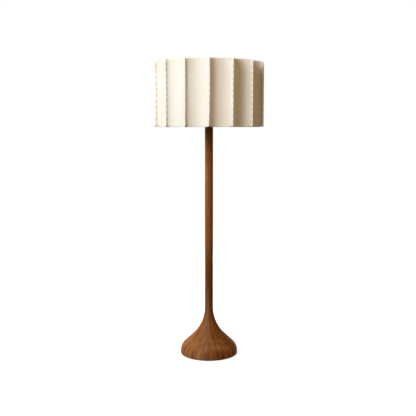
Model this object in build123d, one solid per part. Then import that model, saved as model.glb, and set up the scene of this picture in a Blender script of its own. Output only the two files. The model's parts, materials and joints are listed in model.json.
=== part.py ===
from build123d import *
import os
from math import asin, cos, radians, sin, sqrt, tan

# Fabric shade floor lamp. Millimetres, +Z up, origin on the floor under the middle of the base.
# The front is -Y. The harp stands in the XZ plane, the switch knob points to the front and the
# cord inlet to the back. Everything below the shade is worked out from the floor upwards.

os.makedirs("parts", exist_ok=True)

# Clearances
SEAT_GAP = 0.1  # between pieces of two bodies that rest on each other
RUN_GAP = 0.05  # radial, for what turns or slides in a bore
FIT_GAP = 0.2  # radial, for what is fixed in a bore or a recess
ARM_GAP = 1.5  # from the stud's rest to the ends of the wires on the hub
SOFT_GAP = 0.3  # between the fabric and the wire behind it
WELD_GAP = 0.05  # between wires that are welded side by side
GLUE_GAP = 0.05  # between the binding and the panel it is glued to

# Foot: felt pad, cover plate and its screws
FELT_T = 2.0
FELT_INSET = 8.0
COVER_T = 2.0
COVER_LAP = 10.0
COVER_SCREWS = 6
SCREW_HEAD_R = 3.8
SCREW_SHANK_R = 1.8
SCREW_L = 16.0

# Turned base: an upright side, a rounded shoulder, a straight flank and a flare into the neck
BASE_R = 147.5
FOOT_EDGE_R = 3.0
SHOULDER_Z = 42.6  # where the lines of the side and the flank would meet
FLANK_ANGLE = 47.1  # from upright
SHOULDER_R = 62.0
FLARE_R = 200.0
NECK_STRAIGHT = 14.7
RIM_W = 22.5  # wood between the recess underneath and the side
RECESS_DEPTH = 30.0

# Ballast and what clamps it
WEIGHT_T = 14.0
WEIGHT_GAP = 3.0
WASHER_R = 14.0
WASHER_T = 2.0
CLAMP_NUT_FLATS = 17.0
CLAMP_NUT_T = 8.0
TUBE_TAIL = 2.0  # tube that shows past the clamp nut

# Cord inlet at the back of the base
INLET_Z = 11.5
INLET_BORE_R = 3.5
INLET_BARREL_R = 5.0
INLET_FLANGE_R = 8.0
INLET_FLANGE_T = 2.3
INLET_TAIL = 6.0  # barrel that stands into the recess
INLET_NUT_FLATS = 12.5
INLET_NUT_T = 4.0
INLET_FACE_DROP = 0.4  # the flange lies this far below the wood's side

# Pole and threaded tube
POLE_R = 21.0
POLE_LENGTH = 948.0
SPIGOT_R = 13.0
SPIGOT_L = 32.0
TUBE_R = 5.0
TUBE_BORE_R = 3.75
POLE_CAP_R = 21.6
POLE_CAP_T = 5.0
POLE_CAP_EDGE_R = 1.8

# Harp saddle, its nut, the harp and the sleeves that lock it
SADDLE_T = 1.5
SADDLE_W = 10.6
SADDLE_SPAN = 74.0
SADDLE_END_FLAT = 0.2  # left straight between the two rounded corners of each end
SADDLE_TAB_X = 30.4  # middle of the tab's thickness
SADDLE_TAB_W = 5.2
SADDLE_TAB_H = 17.5
SADDLE_NUT_FLATS = 14.0
SADDLE_NUT_T = 4.0
HARP_WIRE_R = 2.0
HARP_HEIGHT = 252.5  # from the saddle to the middle of the wire at the top
HARP_WIDTH = 104.0
HARP_FOOT_RISE = 32.0
HARP_BELLY_RISE = 76.0
HARP_SHOULDER_DROP = 75.0
HARP_TOP_WIDTH = 52.0
HARP_BENDS = (25.0, 60.0, 60.0, 20.0)  # foot, belly, shoulder, top
COLLAR_R = 8.0
COLLAR_T = 5.0
SLEEVE_R = 4.7
SLEEVE_WALL = 0.8
SLEEVE_H = 14.0

# Swivelling stud that carries the shade, and the finial on it
STUD_SHANK_R = 2.6
STUD_HEAD_R = 4.6
STUD_HEAD_T = 1.6
STUD_REST_R = 9.5
STUD_REST_T = 2.0
STUD_THREAD_R = 3.15
STUD_THREAD_L = 13.0
FINIAL_FOOT_R = 7.4
FINIAL_FOOT_T = 2.4
FINIAL_NECK_R = 5.2
FINIAL_BALL_R = 7.6
FINIAL_WAIST_R = 4.8
FINIAL_H = 23.0
FINIAL_BORE_SPARE = 1.0

# Lampholder
HOLDER_NECK_R = 7.5
HOLDER_NECK_H = 7.0
HOLDER_WALL = 0.6
HOLDER_CAP_R = 16.8
HOLDER_DOME_H = 12.0
HOLDER_RIM_H = 7.0
HOLDER_SHELL_H = 48.0
HOLDER_SHELL_LAP = 5.5
LINER_T = 0.6
TUBE_SHORT = 1.0  # the tube ends this far below the top of the holder's neck
THREAD_SUNK = 1.0  # the screw shell ends this far below the holder's mouth
BLOCK_R = 14.0
BLOCK_H = 25.0
BLOCK_FLAT = 11.2
SHELL_THREAD_R = 13.3  # inside of the screw shell
SHELL_THREAD_WALL = 0.5
SHELL_THREAD_H = 25.0
CONTACT_L = 12.0
CONTACT_W = 5.0
CONTACT_T = 0.8
CONTACT_TIP_R = 2.4
CONTACT_TIP_H = 1.2
TERMINAL_HEAD_R = 3.0
TERMINAL_HEAD_T = 1.9
TERMINAL_SHANK_R = 1.5
TERMINAL_SHANK_L = 4.0
TERMINAL_DROP = 12.0  # below the top of the switch block

# Switch stem and knob
STEM_R = 2.0
STEM_START = 7.0
STEM_IN_KNOB = 9.0
STEM_DROP = 12.0
KNOB_R = 6.4
KNOB_L = 12.0
KNOB_GAP = 4.0  # from the holder's shell to the knob
KNOB_EDGE_R = 1.4

# Lamp, a 60 mm globe on a 26 mm screw cap
BULB_CAP_R = 13.1
BULB_CAP_H = 24.0
BULB_CAP_WALL = 0.5
BULB_CONTACT_R = 4.6
BULB_CONTACT_TIP_R = 2.2
BULB_CONTACT_H = 2.6
BULB_NECK_R = 14.4
BULB_NECK_H = 5.0
BULB_GLOBE_R = 30.0
BULB_JOINT_R = 26.0
BULB_HOUSING_H = 40.0
BULB_HOLLOW = 1.5  # the housing's side lies this far inside the straight line
BULB_HOLLOW_UP = 2.0  # and its deepest point this far above the middle
BULB_WALL = 1.2

# Shade
SHADE_R = 281.0  # tips of the ribs
SHADE_H = 320.0
RIBS = 15
FIRST_RIB = -90.0  # a rib stands at the front
FLANGE = 13.0  # how far a folded edge stands out
FLUTE_DEPTH = 39.0  # from the ribs' tips to the deepest line of a panel
PANEL_T = 1.2
BINDING_W = 9.0
BINDING_T = 0.5
BINDING_END = 1.5
STITCHES = 11
STITCH_L = 15.0
STITCH_W = 1.6
STITCH_PROUD = 0.8
STITCH_INSET = 9.0  # from the ribs' tips
STITCH_TOP = 22.0  # middle of the first stitch below the top edge
STITCH_BOTTOM = 10.0  # middle of the last stitch above the bottom edge

# Shade frame
RING_WIRE_R = 1.6
RING_EDGE = 3.0  # middle of the ring's wire from the shade's edge
RING_BEND_R = 5.0
STRUT_R = 1.5
SPIDER_DROP = 25.0  # middle of the hub below the shade's top edge
SPIDER_ARMS = 3
FIRST_ARM = 90.0
ARM_R = 2.0
ARM_BEND_R = 10.0
HUB_R = 14.0
HUB_T = 2.6

# Heights from the floor
BASE_BOTTOM = FELT_T
RECESS_TOP = BASE_BOTTOM + RECESS_DEPTH
WEIGHT_BOTTOM = RECESS_TOP - WEIGHT_T
WASHER_BOTTOM = WEIGHT_BOTTOM - WASHER_T
CLAMP_NUT_BOTTOM = WASHER_BOTTOM - CLAMP_NUT_T
TUBE_BOTTOM = CLAMP_NUT_BOTTOM - TUBE_TAIL
FLANK_TOP = SHOULDER_Z + (BASE_R - POLE_R) / tan(radians(FLANK_ANGLE))
NECK_TOP = FLANK_TOP + FLARE_R * tan(radians(FLANK_ANGLE / 2)) + NECK_STRAIGHT
POLE_TOP = NECK_TOP + POLE_LENGTH
SADDLE_BOTTOM = POLE_TOP + POLE_CAP_T
SADDLE_TOP = SADDLE_BOTTOM + SADDLE_T
HOLDER_BOTTOM = SADDLE_TOP + SADDLE_NUT_T
TUBE_TOP = HOLDER_BOTTOM + HOLDER_NECK_H - TUBE_SHORT
HOLDER_DOME_TOP = HOLDER_BOTTOM + HOLDER_NECK_H + HOLDER_DOME_H
HOLDER_RIM_TOP = HOLDER_DOME_TOP + HOLDER_RIM_H
HOLDER_SHELL_BOTTOM = HOLDER_RIM_TOP - HOLDER_SHELL_LAP
HOLDER_SHELL_TOP = HOLDER_SHELL_BOTTOM + HOLDER_SHELL_H
SHELL_THREAD_BOTTOM = HOLDER_SHELL_TOP - THREAD_SUNK - SHELL_THREAD_H
BLOCK_BOTTOM = SHELL_THREAD_BOTTOM - BLOCK_H
STEM_Z = SHELL_THREAD_BOTTOM - STEM_DROP
KNOB_START = HOLDER_CAP_R + KNOB_GAP
STEM_L = KNOB_START + STEM_IN_KNOB - STEM_START
CONTACT_TOP = SHELL_THREAD_BOTTOM + CONTACT_T + CONTACT_TIP_H
BULB_BOTTOM = CONTACT_TOP + SEAT_GAP
BULB_CAP_BOTTOM = BULB_BOTTOM + BULB_CONTACT_H
BULB_CAP_TOP = BULB_CAP_BOTTOM + BULB_CAP_H
BULB_JOINT_Z = BULB_CAP_TOP + BULB_HOUSING_H
HARP_TOP = SADDLE_TOP + HARP_HEIGHT
COLLAR_TOP = HARP_TOP + COLLAR_T / 2
REST_TOP = COLLAR_TOP + SEAT_GAP + STUD_REST_T
HUB_BOTTOM = REST_TOP + SEAT_GAP
HUB_TOP = HUB_BOTTOM + HUB_T
HUB_MIDDLE = HUB_BOTTOM + HUB_T / 2
SHADE_TOP = HUB_MIDDLE + SPIDER_DROP
SHADE_BOTTOM = SHADE_TOP - SHADE_H

# Radii and shapes that follow from the sizes above
DIAGONAL = sqrt(0.5)  # of a quarter turn, for the middles of its arcs
RECESS_R = BASE_R - RIM_W
COVER_R = RECESS_R + COVER_LAP
TUBE_HOLE_R = TUBE_R + FIT_GAP
HOLDER_SHELL_R = HOLDER_CAP_R - HOLDER_WALL - FIT_GAP
LINER_R = HOLDER_SHELL_R - HOLDER_WALL - FIT_GAP
PANEL_ANGLE = 360.0 / RIBS
HALF = radians(PANEL_ANGLE / 2)
VALLEY_R = SHADE_R - FLUTE_DEPTH
FOLD_X = (SHADE_R - FLANGE) * sin(HALF) - PANEL_T * cos(HALF)
FOLD_Y = (SHADE_R - FLANGE) * cos(HALF) + PANEL_T * sin(HALF)
SAGITTA = FOLD_Y - VALLEY_R
FLUTE_R = (FOLD_X**2 + SAGITTA**2) / (2 * SAGITTA)
FLUTE_CENTRE = VALLEY_R + FLUTE_R


def tube(outer, inner, bottom, top):
    """A round tube on the lamp's axis."""
    height = top - bottom
    ring = Circle(outer) - Circle(inner)
    return Pos(0, 0, bottom) * extrude(ring, height)


def hex_nut(flats, bore, thick):
    """A hexagon nut with two flats square to X, from z = 0 up."""
    outline = Rot(0, 0, 30) * RegularPolygon(flats / 2, 6, major_radius=False)
    return extrude(outline - Circle(bore), thick)


def turned(*edges):
    """A solid of revolution from the edges of its right half, drawn in the XZ plane."""
    return revolve(make_face(Plane.XZ * Wire(edges)), Axis.Z)


def round_the_axis(shape, count, first=0.0):
    """Copies of a shape turned about Z by equal steps."""
    return [shape.rotate(Axis.Z, first + 360.0 * i / count) for i in range(count)]


# Foot


def felt_pad():
    return extrude(Circle(BASE_R - FELT_INSET), FELT_T)


def screw_places():
    """Places of the cover's screws, half way across its lap on the wood, clear of the inlet."""
    radius = RECESS_R + COVER_LAP / 2
    return [Rot(0, 0, 360.0 * i / COVER_SCREWS) * Pos(radius, 0, 0) for i in range(COVER_SCREWS)]


def screw_shape(spare):
    """A countersunk wood screw, head down at the cover's underside."""
    head = Cone(SCREW_HEAD_R + spare, SCREW_SHANK_R + spare, COVER_T, align=(Align.CENTER, Align.CENTER, Align.MIN))
    shank = Cylinder(SCREW_SHANK_R + spare, SCREW_L + spare, align=(Align.CENTER, Align.CENTER, Align.MIN))
    return Pos(0, 0, BASE_BOTTOM) * (head + shank)


def base_cover_screws():
    return [place * screw_shape(0) for place in screw_places()]


def base_cover():
    plate = Pos(0, 0, BASE_BOTTOM) * extrude(Circle(COVER_R - FIT_GAP), COVER_T)
    for place in screw_places():
        plate -= place * screw_shape(RUN_GAP)
    return plate


# Base


def inlet_place():
    """The inlet's own frame: its axis runs outwards, from the middle of the flange's face."""
    face = BASE_R - INLET_FACE_DROP
    return Plane(origin=(0, face, INLET_Z), x_dir=(1, 0, 0), z_dir=(0, 1, 0))


def inlet_length():
    return RIM_W - INLET_FACE_DROP + INLET_TAIL


def inlet_body(spare):
    flange = Pos(0, 0, -INLET_FLANGE_T) * extrude(Circle(INLET_FLANGE_R + spare), INLET_FLANGE_T)
    barrel = Pos(0, 0, -inlet_length()) * extrude(Circle(INLET_BARREL_R + spare), inlet_length())
    return flange + barrel


def cord_inlet():
    bore = Pos(0, 0, -inlet_length()) * extrude(Circle(INLET_BORE_R), inlet_length())
    return inlet_place() * (inlet_body(0) - bore)


def inlet_nut():
    """The nut inside the recess that holds the inlet in the rim."""
    nut = hex_nut(INLET_NUT_FLATS, INLET_BARREL_R + RUN_GAP, INLET_NUT_T)
    half_width = INLET_NUT_FLATS / 2 / cos(radians(30))
    hollow = RECESS_R - sqrt(RECESS_R**2 - half_width**2)
    seat = RIM_W - INLET_FACE_DROP + hollow + INLET_NUT_T + WELD_GAP
    return inlet_place() * Pos(0, 0, -seat) * Rot(0, 0, 30) * nut


def base_bell():
    """The turned base. Its outline is the three straight lines, rounded where they meet."""
    corners = [
        (BASE_R, BASE_BOTTOM + FOOT_EDGE_R),
        (BASE_R, SHOULDER_Z),
        (POLE_R, FLANK_TOP),
        (POLE_R, NECK_TOP),
    ]
    outline = FilletPolyline(corners, radius=[SHOULDER_R, FLARE_R])
    foot = BASE_R - FOOT_EDGE_R
    lip = DIAGONAL * FOOT_EDGE_R
    edge = ThreePointArc(
        (foot, BASE_BOTTOM),
        (foot + lip, BASE_BOTTOM + FOOT_EDGE_R - lip),
        (BASE_R, BASE_BOTTOM + FOOT_EDGE_R),
    )
    closing = Polyline((POLE_R, NECK_TOP), (0, NECK_TOP), (0, BASE_BOTTOM), (foot, BASE_BOTTOM))
    bell = turned(edge, *outline.edges(), *closing.edges())
    bell -= Pos(0, 0, BASE_BOTTOM) * extrude(Circle(COVER_R), COVER_T)
    bell -= Pos(0, 0, BASE_BOTTOM) * extrude(Circle(RECESS_R), RECESS_DEPTH)
    bell -= Pos(0, 0, BASE_BOTTOM) * extrude(Circle(TUBE_HOLE_R), NECK_TOP)
    bell -= Pos(0, 0, NECK_TOP - SPIGOT_L - FIT_GAP) * extrude(Circle(SPIGOT_R + FIT_GAP), NECK_TOP)
    for place in screw_places():
        bell -= place * screw_shape(RUN_GAP)
    cut = inlet_body(FIT_GAP) + extrude(Circle(INLET_FLANGE_R + FIT_GAP), INLET_FLANGE_R)
    return bell - inlet_place() * cut


def base_weight():
    return tube(RECESS_R - WEIGHT_GAP, TUBE_HOLE_R, WEIGHT_BOTTOM, RECESS_TOP)


def clamp_washer():
    return tube(WASHER_R, TUBE_HOLE_R, WASHER_BOTTOM, WEIGHT_BOTTOM)


def clamp_nut():
    return Pos(0, 0, CLAMP_NUT_BOTTOM) * hex_nut(CLAMP_NUT_FLATS, TUBE_R + RUN_GAP, CLAMP_NUT_T)


# Pole


def pole():
    shaft = tube(POLE_R, TUBE_HOLE_R, NECK_TOP, POLE_TOP)
    return shaft + tube(SPIGOT_R, TUBE_HOLE_R, NECK_TOP - SPIGOT_L, NECK_TOP)


def threaded_tube():
    return tube(TUBE_R, TUBE_BORE_R, TUBE_BOTTOM, TUBE_TOP)


def pole_cap():
    cap = tube(POLE_CAP_R, TUBE_HOLE_R, POLE_TOP, SADDLE_BOTTOM)
    rim = cap.edges().filter_by(GeomType.CIRCLE).sort_by(SortBy.RADIUS)[-2:].sort_by(Axis.Z)[-1]
    return fillet(rim, POLE_CAP_EDGE_R)


# Saddle and harp


def harp_saddle():
    """A strip across the pole's cap, with an upright tab near each end."""
    strip = Box(SADDLE_SPAN, SADDLE_W, SADDLE_T, align=(Align.CENTER, Align.CENTER, Align.MIN))
    strip = fillet(strip.edges().filter_by(Axis.Z), (SADDLE_W - SADDLE_END_FLAT) / 2)
    saddle = strip - extrude(Circle(TUBE_HOLE_R), SADDLE_T)
    for side in (-1, 1):
        tab = Box(SADDLE_T, SADDLE_TAB_W, SADDLE_TAB_H, align=(Align.CENTER, Align.CENTER, Align.MIN))
        saddle += Pos(side * SADDLE_TAB_X, 0, SADDLE_T) * tab
    return Pos(0, 0, SADDLE_BOTTOM) * saddle


def saddle_nut():
    return Pos(0, 0, SADDLE_TOP) * hex_nut(SADDLE_NUT_FLATS, TUBE_R + RUN_GAP, SADDLE_NUT_T)


def harp_foot_x():
    """The harp's leg stands against the outside of the saddle's tab."""
    return SADDLE_TAB_X + SADDLE_T / 2 + HARP_WIRE_R + SEAT_GAP


def harp():
    """One bent wire: two feet, a belly, a flat top, and a bored collar in the middle of the top."""
    foot = harp_foot_x()
    start = SADDLE_TOP + SEAT_GAP
    right = [
        (foot, 0, start),
        (foot, 0, start + HARP_FOOT_RISE),
        (HARP_WIDTH / 2, 0, start + HARP_BELLY_RISE),
        (HARP_WIDTH / 2, 0, HARP_TOP - HARP_SHOULDER_DROP),
        (HARP_TOP_WIDTH / 2, 0, HARP_TOP),
    ]
    left = [(-x, y, z) for x, y, z in reversed(right)]
    bends = list(HARP_BENDS) + list(reversed(HARP_BENDS))
    path = FilletPolyline(right + left, radius=bends)
    wire = sweep(Plane(origin=right[0], z_dir=(0, 0, 1)) * Circle(HARP_WIRE_R), path=path)
    collar = Pos(0, 0, HARP_TOP - COLLAR_T / 2) * extrude(Circle(COLLAR_R), COLLAR_T)
    bore = Pos(0, 0, HARP_TOP - COLLAR_T) * extrude(Circle(STUD_SHANK_R + RUN_GAP), 2 * COLLAR_T)
    return wire + collar - bore


def sleeve(side):
    """A ferrule round the saddle's tab and the foot of the harp's leg."""
    middle = (SADDLE_TAB_X - SADDLE_T / 2 + harp_foot_x() + HARP_WIRE_R) / 2
    bottom = SADDLE_TOP + SEAT_GAP
    return Pos(side * middle, 0, 0) * tube(SLEEVE_R, SLEEVE_R - SLEEVE_WALL, bottom, bottom + SLEEVE_H)


def shade_stud():
    """The riveted stud: head under the collar, shank, rest for the shade and thread."""
    under = HARP_TOP - COLLAR_T / 2 - SEAT_GAP
    over = COLLAR_TOP + SEAT_GAP
    outline = Polyline(
        (0, under - STUD_HEAD_T),
        (STUD_HEAD_R, under - STUD_HEAD_T),
        (STUD_HEAD_R, under),
        (STUD_SHANK_R, under),
        (STUD_SHANK_R, over),
        (STUD_REST_R, over),
        (STUD_REST_R, REST_TOP),
        (STUD_THREAD_R, REST_TOP),
        (STUD_THREAD_R, REST_TOP + STUD_THREAD_L),
        (0, REST_TOP + STUD_THREAD_L),
        close=True,
    )
    return turned(*outline.edges())


def finial():
    """A turned knob: foot, hollowed neck and ball, with a blind bore for the stud."""
    bottom = HUB_TOP + SEAT_GAP
    top = bottom + FINIAL_H
    ball = top - FINIAL_BALL_R
    tilt = asin(FINIAL_NECK_R / FINIAL_BALL_R)
    meet = ball - FINIAL_BALL_R * cos(tilt)
    waist = (bottom + FINIAL_FOOT_T + meet) / 2
    foot = Polyline((0, bottom), (FINIAL_FOOT_R, bottom), (FINIAL_FOOT_R, bottom + FINIAL_FOOT_T))
    hollow = ThreePointArc(
        (FINIAL_FOOT_R, bottom + FINIAL_FOOT_T),
        (FINIAL_WAIST_R, waist),
        (FINIAL_NECK_R, meet),
    )
    round_top = ThreePointArc((FINIAL_NECK_R, meet), (FINIAL_BALL_R, ball), (0, top))
    knob = turned(*foot.edges(), hollow, round_top, Line((0, top), (0, bottom)))
    depth = REST_TOP + STUD_THREAD_L - bottom + FINIAL_BORE_SPARE
    return knob - Pos(0, 0, bottom) * extrude(Circle(STUD_THREAD_R + RUN_GAP), depth)


# Lampholder


def lampholder_cap():
    """Neck on the tube, a domed shoulder and a rim that takes the shell."""
    neck_top = HOLDER_BOTTOM + HOLDER_NECK_H
    inner = HOLDER_CAP_R - HOLDER_WALL
    neck_in = HOLDER_NECK_R - HOLDER_WALL
    bend = DIAGONAL
    outer_dome = ThreePointArc(
        (HOLDER_NECK_R, neck_top),
        (HOLDER_NECK_R + (HOLDER_CAP_R - HOLDER_NECK_R) * bend, neck_top + HOLDER_DOME_H * (1 - bend)),
        (HOLDER_CAP_R, HOLDER_DOME_TOP),
    )
    inner_dome = ThreePointArc(
        (inner, HOLDER_DOME_TOP),
        (neck_in + (inner - neck_in) * bend, neck_top + HOLDER_WALL + HOLDER_DOME_H * (1 - bend)),
        (neck_in, neck_top + HOLDER_WALL),
    )
    bore = TUBE_R + RUN_GAP
    lower = Polyline((neck_in, neck_top + HOLDER_WALL), (bore, neck_top + HOLDER_WALL), (bore, HOLDER_BOTTOM))
    neck = Polyline((bore, HOLDER_BOTTOM), (HOLDER_NECK_R, HOLDER_BOTTOM), (HOLDER_NECK_R, neck_top))
    rim = Polyline(
        (HOLDER_CAP_R, HOLDER_DOME_TOP),
        (HOLDER_CAP_R, HOLDER_RIM_TOP),
        (inner, HOLDER_RIM_TOP),
        (inner, HOLDER_DOME_TOP),
    )
    return turned(outer_dome, *rim.edges(), inner_dome, *lower.edges(), *neck.edges())


def stem_hole(spare):
    """The stem's way out through the holder's side, towards the front."""
    return Pos(0, -STEM_START, STEM_Z) * Rot(90, 0, 0) * extrude(Circle(STEM_R + spare), STEM_L)


def lampholder_shell():
    shell = tube(HOLDER_SHELL_R, HOLDER_SHELL_R - HOLDER_WALL, HOLDER_SHELL_BOTTOM, HOLDER_SHELL_TOP)
    return shell - stem_hole(FIT_GAP)


def lampholder_liner():
    bottom = HOLDER_SHELL_BOTTOM + HOLDER_WALL
    return tube(LINER_R, LINER_R - LINER_T, bottom, HOLDER_SHELL_TOP) - stem_hole(FIT_GAP)


def switch_block():
    """The moulded block that holds the switch, flat on two sides for its terminals."""
    block = Pos(0, 0, BLOCK_BOTTOM) * extrude(Circle(BLOCK_R), BLOCK_H)
    block &= Pos(0, 0, BLOCK_BOTTOM) * Box(
        2 * BLOCK_FLAT, 2 * BLOCK_R, BLOCK_H, align=(Align.CENTER, Align.CENTER, Align.MIN)
    )
    for screw in terminal_shapes(RUN_GAP):
        block -= screw
    return block - stem_hole(RUN_GAP)


def terminal_shapes(spare):
    """One screw in each flat side of the block."""
    height = SHELL_THREAD_BOTTOM - TERMINAL_DROP
    head = Pos(0, 0, BLOCK_FLAT) * extrude(Circle(TERMINAL_HEAD_R), TERMINAL_HEAD_T)
    shank_from = BLOCK_FLAT - TERMINAL_SHANK_L - spare
    shank = Pos(0, 0, shank_from) * extrude(Circle(TERMINAL_SHANK_R + spare), BLOCK_FLAT - shank_from)
    return [Pos(0, 0, height) * Rot(0, side * 90, 0) * (head + shank) for side in (-1, 1)]


def screw_shell():
    outer = SHELL_THREAD_R + SHELL_THREAD_WALL
    return tube(outer, SHELL_THREAD_R, SHELL_THREAD_BOTTOM, SHELL_THREAD_BOTTOM + SHELL_THREAD_H)


def centre_contact():
    leaf = Box(CONTACT_L, CONTACT_W, CONTACT_T, align=(Align.CENTER, Align.CENTER, Align.MIN))
    tip = Pos(0, 0, CONTACT_T) * extrude(Circle(CONTACT_TIP_R), CONTACT_TIP_H)
    return Pos(0, 0, SHELL_THREAD_BOTTOM) * (leaf + tip)


def switch_stem():
    return stem_hole(0)


def switch_knob():
    knob = extrude(Circle(KNOB_R), KNOB_L)
    knob = fillet(knob.edges().filter_by(GeomType.CIRCLE), KNOB_EDGE_R)
    knob = Pos(0, -KNOB_START, STEM_Z) * Rot(90, 0, 0) * knob
    return knob - stem_hole(RUN_GAP)


# Lamp


def bulb_screw_cap():
    cap = tube(BULB_CAP_R, BULB_CAP_R - BULB_CAP_WALL, BULB_CAP_BOTTOM, BULB_CAP_TOP)
    return cap + tube(BULB_CAP_R, BULB_CONTACT_R, BULB_CAP_BOTTOM, BULB_CAP_BOTTOM + BULB_CAP_WALL)


def bulb_contact():
    """The insulating button in the cap's end, with the contact's tip under it."""
    top = BULB_CAP_BOTTOM + BULB_CAP_WALL
    tip = BULB_CONTACT_H / 2
    outline = Polyline(
        (0, BULB_BOTTOM),
        (BULB_CONTACT_TIP_R, BULB_BOTTOM),
        (BULB_CONTACT_TIP_R, BULB_BOTTOM + tip),
        (BULB_CONTACT_R, BULB_CAP_BOTTOM),
        (BULB_CONTACT_R, top),
        (0, top),
        close=True,
    )
    return turned(*outline.edges())


def bulb_housing():
    """The body between the screw cap and the globe, open inside."""
    neck = BULB_CAP_TOP + BULB_NECK_H
    wall = BULB_WALL
    side = (BULB_NECK_R + BULB_JOINT_R) / 2 - BULB_HOLLOW
    deepest = (neck + BULB_JOINT_Z) / 2 + BULB_HOLLOW_UP
    outer = ThreePointArc(
        (BULB_NECK_R, neck),
        (side, deepest),
        (BULB_JOINT_R, BULB_JOINT_Z),
    )
    inner = ThreePointArc(
        (BULB_JOINT_R - wall, BULB_JOINT_Z),
        (side - wall, deepest),
        (BULB_NECK_R - wall, neck),
    )
    mouth = BULB_CAP_R - BULB_CAP_WALL - wall
    lower = Polyline(
        (BULB_NECK_R - wall, neck),
        (mouth, neck),
        (mouth, BULB_CAP_TOP),
        (BULB_NECK_R, BULB_CAP_TOP),
        (BULB_NECK_R, neck),
    )
    joint = Line((BULB_JOINT_R, BULB_JOINT_Z), (BULB_JOINT_R - wall, BULB_JOINT_Z))
    return turned(outer, joint, inner, *lower.edges())


def bulb_globe():
    """A thin part sphere that closes the housing."""
    middle = BULB_JOINT_Z + sqrt(BULB_GLOBE_R**2 - BULB_JOINT_R**2)
    inner_r = BULB_GLOBE_R - BULB_WALL
    inner_joint = sqrt(inner_r**2 - (middle - BULB_JOINT_Z) ** 2)
    outer = ThreePointArc((BULB_JOINT_R, BULB_JOINT_Z), (BULB_GLOBE_R, middle), (0, middle + BULB_GLOBE_R))
    inner = ThreePointArc((0, middle + inner_r), (inner_r, middle), (inner_joint, BULB_JOINT_Z))
    top = Line((0, middle + BULB_GLOBE_R), (0, middle + inner_r))
    joint = Line((inner_joint, BULB_JOINT_Z), (BULB_JOINT_R, BULB_JOINT_Z))
    return turned(outer, top, inner, joint)


# Shade panels. A panel is drawn with its middle on +Y and then turned to its place.


def along_rib(distance, side):
    """A point on a rib's plane, at that distance from the axis."""
    return (side * distance * sin(HALF), distance * cos(HALF))


def beside_rib(distance, side):
    """The same point, moved into the panel by the panel's thickness."""
    x, y = along_rib(distance, side)
    return (x - side * PANEL_T * cos(HALF), y + PANEL_T * sin(HALF))


def circle_meets_rib(radius):
    """Distance from the axis at which a circle about the flute's centre crosses the rib's plane."""
    reach = FLUTE_CENTRE * cos(HALF)
    return reach - sqrt(reach**2 - FLUTE_CENTRE**2 + radius**2)


def panel():
    """One panel: an inward curve of constant thickness between two edges folded outwards."""
    fold = SHADE_R - FLANGE
    inner = circle_meets_rib(FLUTE_R + PANEL_T)
    right = Polyline(along_rib(inner, 1), along_rib(SHADE_R, 1), beside_rib(SHADE_R, 1), beside_rib(fold, 1))
    face = ThreePointArc(beside_rib(fold, 1), (0, VALLEY_R), beside_rib(fold, -1))
    left = Polyline(beside_rib(fold, -1), beside_rib(SHADE_R, -1), along_rib(SHADE_R, -1), along_rib(inner, -1))
    back = ThreePointArc(along_rib(inner, -1), (0, VALLEY_R - PANEL_T), along_rib(inner, 1))
    section = make_face(Wire([*right.edges(), face, *left.edges(), back]))
    return Pos(0, 0, SHADE_BOTTOM) * extrude(section, SHADE_H)


def to_panel(shape, index):
    """Turns a shape drawn on +Y to the panel with that index, counted from the front rib."""
    return shape.rotate(Axis.Z, FIRST_RIB - 90 + PANEL_ANGLE * (index + 0.5))


def binding(bottom):
    """A strip of tape along one edge of every panel, on its outer face."""
    near = FLUTE_R - GLUE_GAP
    far = near - BINDING_T
    reach = asin(FOLD_X / FLUTE_R) - BINDING_END / FLUTE_R

    def on_flute(radius, angle):
        return (radius * sin(angle), FLUTE_CENTRE - radius * cos(angle))

    section = make_face(
        Wire(
            [
                ThreePointArc(on_flute(near, -reach), on_flute(near, 0), on_flute(near, reach)),
                Line(on_flute(near, reach), on_flute(far, reach)),
                ThreePointArc(on_flute(far, reach), on_flute(far, 0), on_flute(far, -reach)),
                Line(on_flute(far, -reach), on_flute(near, -reach)),
            ]
        )
    )
    strip = Pos(0, 0, bottom) * extrude(section, BINDING_W)
    return [to_panel(strip, i) for i in range(RIBS)]


def stitch_heights():
    """Middles of the stitches on one side of a rib, from the bottom up."""
    pitch = (SHADE_H - STITCH_TOP - STITCH_BOTTOM) / (STITCHES - 1)
    return [SHADE_BOTTOM + STITCH_BOTTOM + pitch * i for i in range(STITCHES)]


def rib_stitches():
    """A running stitch down each rib: it shows on one side, then on the other."""
    levels = stitch_heights()
    between = [(a + b) / 2 for a, b in zip(levels, levels[1:])]
    stitch = Box(STITCH_PROUD, STITCH_W, STITCH_L)
    offset = PANEL_T + STITCH_PROUD / 2
    radius = SHADE_R - STITCH_INSET
    rib = [Pos(-offset, radius, z) * stitch for z in levels]
    rib += [Pos(offset, radius, z) * stitch for z in between]
    return [s for one in rib for s in round_the_axis(one, RIBS, FIRST_RIB - 90)]


# Shade frame


def ring_radius():
    """Radius of the ring wire's curve behind a panel."""
    return FLUTE_R + PANEL_T + SOFT_GAP + RING_WIRE_R


def bend_centre():
    """Distance from the axis to the middle of the ring's bend at a rib."""
    return circle_meets_rib(ring_radius() + RING_BEND_R)


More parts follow.
